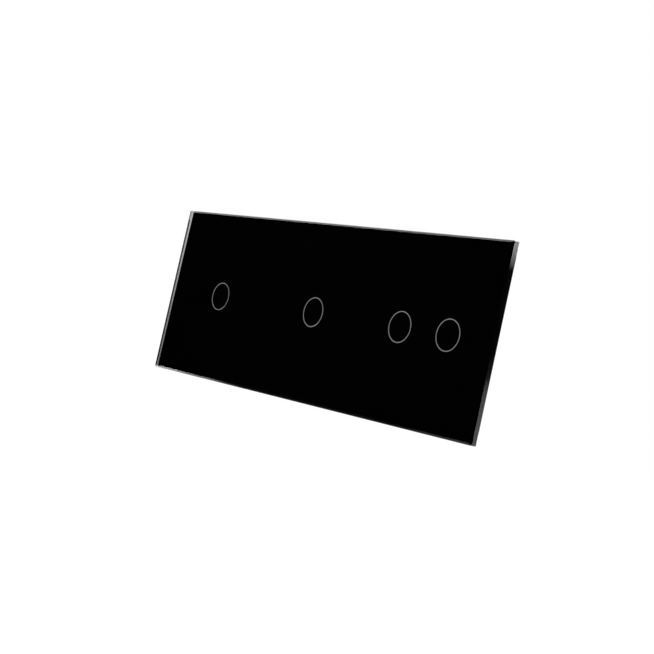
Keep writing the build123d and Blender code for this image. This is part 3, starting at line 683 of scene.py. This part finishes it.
def cross_recess(cutter, top, depth, reach, width):
    """A tapered cross recess about the origin, from the top of a head down."""
    taper, above = 0.55, 0.02
    for half_x, half_z in ((reach, width), (width, reach)):
        mouth = [(-half_x, -half_z), (half_x, -half_z), (half_x, half_z), (-half_x, half_z)]
        prism(cutter, mouth, top - depth, top + above, taper)


def copies(shape, places):
    """The shape once at each (x, z) place, as one shape."""
    result = bmesh.new()
    mesh = bpy.data.meshes.new("copies")
    shape.to_mesh(mesh)
    shape.free()
    for x, z in places:
        mesh.transform(Matrix.Translation((x, 0, z)))
        result.from_mesh(mesh)
        mesh.transform(Matrix.Translation((-x, 0, -z)))
    bpy.data.meshes.remove(mesh)
    return result


def case_screws():
    """The case screws with domed rims, cross recesses and their cut threads."""
    solids = solids_of("case_screws")
    low, high = solids[0]
    radius = (high.x - low.x) / 2
    head, head_inset, head_edge, shank, plain = 1.4, 0.1, 0.12, 1.1, 1.0
    tip, tip_radius, tip_share, pitch, thread = 1.2, 0.3, 0.75, 0.9, 0.26
    recess_depth, recess_reach, recess_width = 1.0, 1.25, 0.3
    dome = ((0.0, 0.55), (0.06, 0.35), (0.22, 0.14), (0.5, 0.0))
    neck = high.y - head
    rows = [(tip_radius, low.y), (shank * tip_share, low.y + tip)]
    rows += helix_rows(shank, thread, low.y + tip, neck - plain, pitch)
    rows += [(shank, neck), (radius - head_inset, neck), (radius, neck + head_edge)]
    rows += rim_rows(radius, high.y, dome)
    screw = bmesh.new()
    turned(screw, ALONG_Y, rows, 28, pitch=pitch)
    cutter = bmesh.new()
    cross_recess(cutter, high.y, recess_depth, recess_reach, recess_width)
    screw = carve(screw, cutter)
    places = [((a.x + b.x) / 2, (a.z + b.z) / 2) for a, b in solids]
    show("case_screws_cut", copies(screw, places), "screw_steel", "case_screws")


def terminal_screw(node):
    """A terminal screw with a slotted, rimmed head and its thread, on its own body."""
    low, high = box_mm(node)
    place = Matrix.Translation(((low.x + high.x) / 2, 0, (low.z + high.z) / 2))
    radius = (high.x - low.x) / 2
    head, head_edge, shank, undercut, plain = 1.6, 0.15, 1.45, 0.1, 0.2
    point, point_share, point_inset, pitch, thread = 0.3, 0.6, 0.25, 0.5, 0.22
    slot_half, slot_depth, slot_above = 0.35, 0.8, 0.1
    rim = ((0.0, 0.4), (0.1, 0.18), (0.35, 0.0))
    neck = high.y - head
    rows = [(shank * point_share, low.y), (shank - point_inset, low.y + point)]
    rows += helix_rows(shank, thread, low.y + point, neck - plain, pitch)
    rows += [(shank - undercut, neck), (radius - head_edge, neck), (radius, neck + head_edge)]
    rows += rim_rows(radius, high.y, rim)
    screw = bmesh.new()
    turned(screw, place @ ALONG_Y, rows, 32, pitch=pitch)
    cutter = bmesh.new()
    reach = radius + OVERCUT
    slot = [(-slot_half, -reach), (slot_half, -reach), (slot_half, reach), (-slot_half, reach)]
    prism(cutter, slot, high.y - slot_depth, high.y + slot_above)
    bmesh.ops.transform(cutter, matrix=place, verts=cutter.verts)
    show(f"{node}_cut", carve(screw, cutter), "screw_steel", node, body=node)


def relay_windings():
    """The relays' coils: turns of enamelled wire between the flanges of a bobbin."""
    wire, wire_depth, flange, lip, corner = 0.25, 0.1, 0.6, 0.2, 0.1
    winding, bobbins = bmesh.new(), bmesh.new()
    for low, high in solids_of("relay_coils"):
        centre = (low + high) / 2
        place = Matrix.Translation((centre.x, centre.y, 0))
        radius = (high.x - low.x) / 2
        turns = helix_rows(radius - lip, wire_depth, low.z + flange, high.z - flange, wire, 6)
        turned(winding, place, turns, 36, pitch=wire)
        for edge, inward in ((low.z, 1), (high.z, -1)):
            rows = [(radius - corner, edge), (radius, edge + inward * corner),
                    (radius, edge + inward * (flange - corner)), (radius - corner, edge + inward * flange)]
            turned(bobbins, place, rows, 36)
    show("relay_windings", winding, "copper_wire", "relay_coils")
    show("relay_bobbins", bobbins, "black_plastic")


def capacitor_cans():
    """The capacitors: a shrunk sleeve with a pale stripe round a can with a scored top."""
    cans, cutter = bmesh.new(), bmesh.new()
    solids = solids_of("capacitors")
    foot_share, foot_edge = 0.9, 0.35
    groove = ((0.0, 1.1), (0.3, 1.3), (0.3, 1.6), (0.0, 1.85))
    shoulder = ((0.0, 0.5), (0.12, 0.15), (0.45, 0.0))
    top_share, top_sunk, top_slope = 0.78, 0.12, 0.05
    score_reach, score_width, score_depth, score_above = 2.4, 0.2, 0.12, 0.1
    for low, high in solids:
        radius = (high.x - low.x) / 2
        x, z = (low.x + high.x) / 2, (low.z + high.z) / 2
        rows = [(radius * foot_share, low.y), (radius, low.y + foot_edge)]
        rows += [(radius - inset, low.y + height) for inset, height in groove]
        rows += rim_rows(radius, high.y, shoulder)
        rows += rim_rows(radius * top_share, high.y, ((0.0, 0.0), (top_slope, top_sunk)))
        turned(cans, Matrix.Translation((x, 0, z)) @ ALONG_Y, rows, 48)
        for dx, dz in ((score_reach, 0.0), (0.0, score_reach)):
            bar(cutter, (x - dx, z - dz), (x + dx, z + dz), score_width, high.y - top_sunk - score_depth,
                high.y + score_above)
    mesh = finished("capacitor_cans", carve(cans, cutter))
    for slot in ("capacitor_sleeve", "silver", "lamp_white"):
        mesh.materials.append(FINISHES[slot])
    metal_drop, stripe_away, stripe_half, stripe_from = 0.3, 3.5, 1.2, 1.8
    for face in mesh.polygons:
        spot = face.center / MM
        low, high = min(solids, key=lambda box: abs((box[0].x + box[1].x) / 2 - spot.x))
        away = Vector((spot.x - (low.x + high.x) / 2, spot.z - (low.z + high.z) / 2))
        beside = away.length > stripe_away and away.x < 0 and abs(away.y) < stripe_half
        if spot.y > high.y - metal_drop and away.length < (high.x - low.x) / 2 * top_share:
            face.material_index = 1
        elif beside and spot.y > low.y + stripe_from:
            face.material_index = 2
    add_piece("capacitor_cans", mesh, "modules", "capacitor_sleeve", "capacitors")


def transformer_parts():
    """The transformers: a taped winding round the middle leg of a two-part core."""
    cores, windings = bmesh.new(), bmesh.new()
    leg, inset, yoke, seam, core_round = 2.4, 0.6, 2.0, 0.06, 0.15
    foot, foot_inset, foot_width, foot_round = 1.2, 0.2, 1.4, 0.2
    winding_gap, winding_round = 0.3, 1.2
    for low, high in solids_of("transformers"):
        middle = (low + high) / 2
        floor, roof = low.y + foot, high.y - yoke
        core_low, core_high = low.z + inset, high.z - inset
        for side in (-1, 1):
            ends = sorted((middle.x + side * seam, high.x if side > 0 else low.x))
            block(cores, (ends[0], roof, core_low), (ends[1], high.y, core_high), core_round)
            edge = high.x - leg if side > 0 else low.x
            block(cores, (edge, floor, core_low), (edge + leg, roof, core_high), core_round)
            outer = high.z - foot_inset if side > 0 else low.z + foot_inset
            foot_low, foot_high = sorted((outer, outer - side * foot_width))
            block(cores, (low.x + leg, low.y, foot_low), (high.x - leg, floor, foot_high), foot_round)
        centre = Vector((middle.x, (floor + roof) / 2, middle.z))
        size = Vector((high.x - low.x - 2 * (leg + winding_gap), roof - floor - winding_gap, high.z - low.z))
        block(windings, centre - size / 2, centre + size / 2, winding_round)
    show("transformer_cores", cores, "ferrite", "transformers")
    mesh = finished("transformer_windings", windings)
    mesh.materials.append(TAPE)
    add_piece("transformer_windings", mesh, "modules", "copper_wire")


# Small parts on the boards, a solder cone's profile, and the parts' leads across and up from their middles
LEAD_PITCH = 0.65
HEADER_PITCH = 2.54
RESISTOR_LENGTH = 2.0
RESISTOR_PITCH = (3.4, 2.2)
RESISTORS_AWAY = 5.0
SOLDER_CONE = ((0.95, 0.0), (0.9, 0.08), (0.55, 0.35), (0.36, 0.75), (0.33, 1.05), (0.2, 1.12))
LEADS = {
    "relay_coils": ((-2.6, 2.6), (-7.2, 6.0)),
    "capacitors": ((-1.75, 1.75), (0.0,)),
    "fuses": ((-2.5, 2.5), (0.0,)),
    "transformers": ((-4.5, 0.0, 4.5), (-2.6, 2.6)),
    "terminal_bars": ((-0.6, 0.6), (3.4,)),
}


def chip_leads():
    """The touch chips' bent leads, on the back of the touch boards."""
    leads = bmesh.new()
    width, reach, thickness, edge_round = 0.3, 0.9, 0.15, 0.03
    shoulder, bend_from, bend_to, foot_from = 0.35, 0.25, 0.4, 0.3
    for low, high in solids_of("touch_chips"):
        middle = (low + high) / 2
        lengths = ((0.0, shoulder, middle.y - thickness / 2, middle.y + thickness / 2),
                   (bend_from, bend_to, low.y, middle.y), (foot_from, reach, low.y, low.y + thickness))
        for side, edge in ((-1, low.x), (1, high.x)):
            for number in range(-3, 4):
                z = middle.z + number * LEAD_PITCH
                for start, end, bottom, top in lengths:
                    near, far = sorted((edge + side * start, edge + side * end))
                    block(leads, (near, bottom, z - width / 2), (far, top, z + width / 2), edge_round)
    show("touch_chip_leads", leads, "silver")


def light_guide(module):
    """A module's light guides, with ring-shaped prisms that spread the lamps' light over each disc."""
    node = f"{module}_light_guide"
    flange_width, flange, pitch, depth, rim = 0.8, 0.3, 0.9, 0.18, 0.15
    middle_flat, first_crest = 0.4, 1.2
    guides = bmesh.new()
    for low, high in solids_of(node):
        outer = (high.x - low.x) / 2
        radius = outer - flange_width
        rows = [(middle_flat, low.y)]
        crest = first_crest
        while crest + pitch < radius - 2 * rim:
            rows += [(crest, low.y), (crest + pitch / 2, low.y + depth)]
            crest += pitch
        rows += [(crest, low.y), (radius - rim, low.y), (radius, low.y + rim), (radius, high.y - flange),
                 (outer, high.y - flange), (outer, high.y)]
        place = Matrix.Translation(((low.x + high.x) / 2, 0, (low.z + high.z) / 2)) @ ALONG_Y
        turned(guides, place, rows, 64)
    show(f"{node}_lensed", guides, "clear_plastic", node)


def touch_pads():
    """The gilt rings on the front of the touch boards that sense the finger, one behind each guide."""
    pads = bmesh.new()
    inner, outer, proud, sunk = 3.0, 5.4, 0.04, 0.02
    for module in MODULES:
        front = box_mm(f"{module}_touch_board")[0].y
        for low, high in solids_of(f"{module}_light_guide"):
            middle = (low + high) / 2
            ring(pads, middle.x, middle.z, inner, outer, front - proud, front + sunk, 64)
    show("touch_pads", pads, "brass")


def board_tracks():
    """Copper tracks under the mask on the back of the touch boards, from the touch chip's leads to the header
    and to the chip resistors."""
    tracks = bmesh.new()
    width, proud, sunk, step, lead_reach = 0.3, 0.03, 0.01, 0.7, 0.8
    left_level, right_level, left_pin, right_pin = 2.4, 3.4, 2.5, 3.5
    turn_before, turn_step, small_cut = 1.6, 0.4, 0.3
    for (low, high), (base_low, base_high) in zip(solids_of("touch_chips"), solids_of("board_headers")):
        depth = low.y - sunk, low.y + proud
        middle_z = (low.z + high.z) / 2
        ways = (-1, low.x, left_level, left_pin), (1, high.x, right_level, right_pin)
        for number in range(3):
            lead_z = middle_z + (number - 3) * LEAD_PITCH
            for side, edge, level, pin in ways:
                lead_x = edge + side * lead_reach
                turn_x = edge + side * (2 * lead_reach + number * step)
                level_z = base_high.z + level + side * number * step
                pin_x = base_low.x + (pin + side * number) * HEADER_PITCH
                route = [(lead_x, lead_z), (turn_x, lead_z), (turn_x, level_z), (pin_x, level_z)]
                track(tracks, route + [(pin_x, base_high.z)], width, *depth)
        first = high.x + RESISTORS_AWAY
        for row, lead in ((-1, 0), (0, 1), (1, 3)):
            lead_z, row_z = middle_z + lead * LEAD_PITCH, middle_z + row * RESISTOR_PITCH[1]
            turn_x = first - turn_before + turn_step * lead
            route = [(high.x + lead_reach, lead_z), (turn_x, lead_z), (turn_x, row_z), (first, row_z)]
            track(tracks, route, width, *depth, small_cut)
            bar(tracks, (first + RESISTOR_LENGTH, row_z), (first + RESISTOR_PITCH[0], row_z), width, *depth)
    mesh = finished("board_tracks", tracks)
    mesh.materials.append(TRACK)
    add_piece("board_tracks", mesh, "modules", "circuit_board")


def board_marks():
    """Pale outlines printed on the boards round what stands on them."""
    marks = bmesh.new()
    line, gap, lead_room, proud, sunk, corner = 0.18, 0.3, 1.0, 0.02, 0.01, 0.4
    for nodes, board in ((("fuses", "transformers", "relay_covers", "capacitors"), "middle_power_board"),
                         (("touch_chips", "board_headers"), "middle_touch_board")):
        back = box_mm(board)[1].y
        for node in nodes:
            for low, high in solids_of(node):
                middle, size = (low + high) / 2, high - low
                if node == "capacitors":
                    inner = size.x / 2 + gap
                    ring(marks, middle.x, middle.z, inner, inner + line, back - sunk, back + proud)
                    continue
                room = gap + (lead_room if node == "touch_chips" else 0.0)
                outlines = [rounded(middle.x, middle.z, size.x + 2 * (room + rim), size.z + 2 * (gap + rim),
                                    corner + rim, 3) for rim in (0.0, line)]
                band(marks, *outlines, back - sunk, back + proud)
    show("board_marks", marks, "pale_ink")


def chip_part(bodies, ends, low, high, cap, cap_y):
    """A small part between two corners, soldered by its ends: a body and two metal caps over cap_y."""
    under_cap, body_round, cap_round = 0.8, 0.05, 0.03
    inset = Vector((cap * under_cap, 0, 0))
    block(bodies, low + inset, high - inset, body_round)
    for x in (low.x, high.x - cap):
        block(ends, (x, cap_y[0], low.z), (x + cap, cap_y[1], high.z), cap_round)


def small_parts():
    """The lamps on the front of the touch boards, and chip resistors by the touch chips on their back."""
    lamps, resistors, ends = bmesh.new(), bmesh.new(), bmesh.new()
    lamp_cap = 0.3
    for low, high in solids_of("indicator_leds"):
        chip_part(lamps, ends, low, high, lamp_cap, ((low.y + high.y) / 2, high.y))
    width, height, cap, cap_over = 1.25, 0.5, 0.4, 0.03
    for low, high in solids_of("touch_chips"):
        board, middle_z = low.y, (low.z + high.z) / 2
        for column in (0, 1):
            for row in (-1, 0, 1):
                x = high.x + RESISTORS_AWAY + column * RESISTOR_PITCH[0]
                z = middle_z + row * RESISTOR_PITCH[1]
                near = Vector((x, board, z - width / 2))
                far = Vector((x + RESISTOR_LENGTH, board + height, z + width / 2))
                chip_part(resistors, ends, near, far, cap, (board, board + height + cap_over))
    show("lamp_bodies", lamps, "lamp_white", "indicator_leds")
    show("chip_resistors", resistors, "black_epoxy")
    show("small_part_ends", ends, "silver")


def pin_headers():
    """The pin headers: a notched plastic strip and its square pins."""
    strips, pins = bmesh.new(), bmesh.new()
    side, sunk, pin_round, strip_side, strip_round = 0.64, 0.2, 0.06, 2.5, 0.35
    for low, high in solids_of("board_headers"):
        middle = (low + high) / 2
        count = round((high.x - low.x) / HEADER_PITCH)
        for number in range(count):
            x = middle.x + (number - (count - 1) / 2) * HEADER_PITCH
            block(strips, (x - HEADER_PITCH / 2, low.y, middle.z - strip_side / 2),
                  (x + HEADER_PITCH / 2, middle.y, middle.z + strip_side / 2), strip_round)
            block(pins, (x - side / 2, middle.y - sunk, middle.z - side / 2),
                  (x + side / 2, high.y, middle.z + side / 2), pin_round)
    show("header_strips", strips, "black_epoxy", "board_headers")
    show("header_pins", pins, "brass")


def solder_joints():
    """Solder cones on the front of the power boards, one under each lead of what stands on them."""
    joints = bmesh.new()
    board = box_mm("middle_power_board")[0].y
    spots = []
    for node, (across, along) in LEADS.items():
        for low, high in solids_of(node):
            middle = (low + high) / 2
            spots += [(middle.x + x, middle.z + z) for x in across for z in along]
    towards_room = Matrix.Rotation(math.radians(90.0), 4, "X")
    for x, z in spots:
        turned(joints, Matrix.Translation((x, board, z)) @ towards_room, SOLDER_CONE, 16)
    show("solder_joints", joints, "silver")


# The studio, in metres
WORLD_LIGHT = 0.5
FLOOR_DROP = 0.35
FLOOR_REACH = 8.0
FLOOR_TONE = 0.8
FLOOR_LIFT = 0.34
KEY_FROM = (-0.5, -0.75, 1.0)
BACK_FROM = (0.7, 0.95, 1.0)
SUN_STRENGTH = 1.2
SUN_SPREAD_DEG = 25.0

# Where the cards of painted light stand, which only reflections and views through glass see. The lowest lie
# just above the floor.
CARD_GAP = 0.001
CARD_LEVEL = CARD_GAP - FLOOR_DROP
PAINTED_ROOM_HALF = 4.5
PAINTED_ROOM_FRONT = -1.7
PAINTED_ROOM_HEIGHT = 2.6
PAINTED_FLOOR_BACK = 0.15
PAINTED_GLINT_X = (-0.65, -0.15)
PAINTED_GLINT_Y = (-0.02, 0.03)
PAINTED_LAMP_MIDDLE = (1.221, 1.17, 0)
PAINTED_LAMP_SIDE = (0.3215, -0.3815, 0)
PAINTED_LAMP_LOW = -0.3
PAINTED_LAMP_HIGH = 0.5
PAINTED_MARGIN_VIEW_X = (-0.5, 0.35)
PAINTED_MARGIN_VIEW_Y = 0.06
PAINTED_MARGIN_VIEW_Z = (-0.15, 0.15)


def upright(x_low, x_high, y, z_low, z_high):
    """The corners of an upright card that faces along Y."""
    return [(x_low, y, z_low), (x_high, y, z_low), (x_high, y, z_high), (x_low, y, z_high)]


def lying(x_low, x_high, y_low, y_high, z):
    """The corners of a level card."""
    return [(x_low, y_low, z), (x_high, y_low, z), (x_high, y_high, z), (x_low, y_high, z)]


def seen_rays(tree):
    """1 where the camera, a reflection or a view through glass looks, and 0 for light on the object."""
    path = tree.nodes.new("ShaderNodeLightPath")
    total = path.outputs["Is Camera Ray"]
    for name in ("Is Glossy Ray", "Is Transmission Ray"):
        add = tree.nodes.new("ShaderNodeMath")
        add.operation = "MAXIMUM"
        tree.links.new(total, add.inputs[0])
        tree.links.new(path.outputs[name], add.inputs[1])
        total = add.outputs[0]
    return total


def flat(name, corners, material):
    """A flat thing in the studio, between four corners."""
    mesh = bpy.data.meshes.new(name)
    mesh.from_pydata(corners, [], [(0, 1, 2, 3)])
    mesh.materials.append(material)
    obj = bpy.data.objects.new(name, mesh)
    bpy.context.scene.collection.objects.link(obj)
    return obj


def sheet(name, corners, axis, bands, seen_by="glossy"):
    """A flat card of painted light that only one kind of ray sees, so it lights nothing. Its glow runs along
    an axis of the scene through the bands, which are (place, strength)."""
    g = Graph(name)
    along = g.new("ShaderNodeSeparateXYZ", axis, Vector=g.new("ShaderNodeNewGeometry", "Position"))
    low, high = bands[0][0], bands[-1][0]
    top = max(strength for _, strength in bands)
    share = g.new("ShaderNodeMapRange", Value=along, From_Min=low, From_Max=high)
    tone = g.new("ShaderNodeValToRGB", "Color", Fac=share)
    elements = tone.node.color_ramp.elements
    while len(elements) < len(bands):
        elements.new(0.5)
    for element, (place, strength) in zip(elements, bands):
        element.position = (place - low) / (high - low)
        element.color = grey(strength / top)
    shine = g.new("ShaderNodeEmission", Color=tone, Strength=top)
    g.links.new(shine, g.nodes["Material Output"].inputs["Surface"])
    card = flat(name, corners, g.material)
    for ray in ("camera", "diffuse", "glossy", "transmission", "shadow", "volume_scatter"):
        setattr(card, f"visible_{ray}", ray == seen_by)


def add_world():
    """An even white world, which lights the object less than it shows."""
    world = bpy.data.worlds.new("studio")
    bpy.context.scene.world = world
    world.use_nodes = True
    tree = world.node_tree
    back = tree.nodes["Background"]
    back.inputs["Color"].default_value = WHITE
    level = tree.nodes.new("ShaderNodeMapRange")
    tree.links.new(seen_rays(tree), level.inputs["Value"])
    level.inputs["To Min"].default_value = WORLD_LIGHT
    level.inputs["To Max"].default_value = 1.0
    tree.links.new(level.outputs[0], back.inputs["Strength"])


def add_floor():
    """A pale floor that shows as white as the background, with the object's shadow on it."""
    g = Graph("floor")
    lift = g.new("ShaderNodeMapRange", Value=seen_rays(g.material.node_tree), To_Max=FLOOR_LIFT)
    g.set(Base_Color=grey(FLOOR_TONE), Roughness=0.9, Specular_IOR_Level=0.0, Emission_Color=WHITE,
          Emission_Strength=lift)
    corners = lying(-FLOOR_REACH, FLOOR_REACH, -FLOOR_REACH, FLOOR_REACH, -FLOOR_DROP)
    floor = flat("floor", corners, g.material)


def add_sun(name, towards_light):
    """A soft, wide sun."""
    data = bpy.data.lights.new(name, "SUN")
    data.energy = SUN_STRENGTH
    data.angle = math.radians(SUN_SPREAD_DEG)
    light = bpy.data.objects.new(name, data)
    light.rotation_euler = Vector(towards_light).to_track_quat("Z", "Y").to_euler()
    bpy.context.scene.collection.objects.link(light)


def add_cards():
    """Painted reflections of a dark room, a glint and a lamp in the glass, and a painted view through its
    bare margin.
    """
    # Painted dark reflection of a room in front of the glass, with a painted sheen towards its top.
    sheet("painted_dark_front", upright(-PAINTED_ROOM_HALF, PAINTED_ROOM_HALF, PAINTED_ROOM_FRONT, CARD_LEVEL, PAINTED_ROOM_HEIGHT), "Z",
          [(1.2, 0.0), (2.6, 0.5)])
    # Painted reflection of the floor: dark in front, lighter towards the back.
    sheet("painted_dark_floor", lying(-PAINTED_ROOM_HALF, PAINTED_ROOM_HALF, PAINTED_ROOM_FRONT, PAINTED_FLOOR_BACK, CARD_LEVEL), "Y",
          [(-0.25, 0.0), (-0.03, 0.25), (0.15, 1.0)])
    # A painted glint on the floor under the left of the glass, seen only in reflections.
    sheet("painted_floor_glint", lying(*PAINTED_GLINT_X, *PAINTED_GLINT_Y, CARD_LEVEL + CARD_GAP), "X",
          [(-0.62, 2.4), (-0.54, 2.2), (-0.53, 1.2), (-0.492, 1.0), (-0.474, 0.3), (-0.45, 0.06),
           (-0.25, 0.07), (-0.22, 0.25), (-0.17, 0.39)])
    # A painted reflection of a lamp beyond the glass's right end, in bands. It lights nothing.
    middle, side = Vector(PAINTED_LAMP_MIDDLE), Vector(PAINTED_LAMP_SIDE)
    foot, head = Vector((0, 0, PAINTED_LAMP_LOW)), Vector((0, 0, PAINTED_LAMP_HIGH))
    corners = [middle - side + foot, middle + side + foot, middle + side + head, middle - side + head]
    sheet("painted_lamp_reflection", corners, "Z",
          [(-0.3, 1.5), (-0.055, 1.25), (0.0, 0.95), (0.0135, 0.6), (0.0216, 0.17), (0.06, 0.015),
           (0.1915, 0.03), (0.201, 1.3), (0.2165, 3.3), (0.227, 4.3)])
    # A painted view through the glass's bare margin, lighter towards the top. Only rays through glass see it.
    sheet("painted_margin_view", upright(*PAINTED_MARGIN_VIEW_X, PAINTED_MARGIN_VIEW_Y, *PAINTED_MARGIN_VIEW_Z), "Z",
          [(-0.05, 0.14), (-0.02, 0.2), (0.01, 0.31), (0.05, 0.47)], seen_by="transmission")


bpy.context.scene.view_settings.view_transform = "Standard"
add_camera()
dress_nodes()
ground_glass()
put_ink_in_glass("back_print", "black_ink")
put_ink_in_glass("ring_marks", "pale_ink")
for module in MODULES:
    housing(module)
    plate(module)
case_screws()
for screw in sorted(n for n in frame["nodes"] if n.endswith("_screw")):
    terminal_screw(screw)
relay_windings()
capacitor_cans()
transformer_parts()
chip_leads()
touch_pads()
small_parts()
board_tracks()
board_marks()
for module in MODULES:
    light_guide(module)
pin_headers()
solder_joints()
add_world()
add_floor()
add_sun("key_light", KEY_FROM)
add_sun("back_light", BACK_FROM)
add_cards()
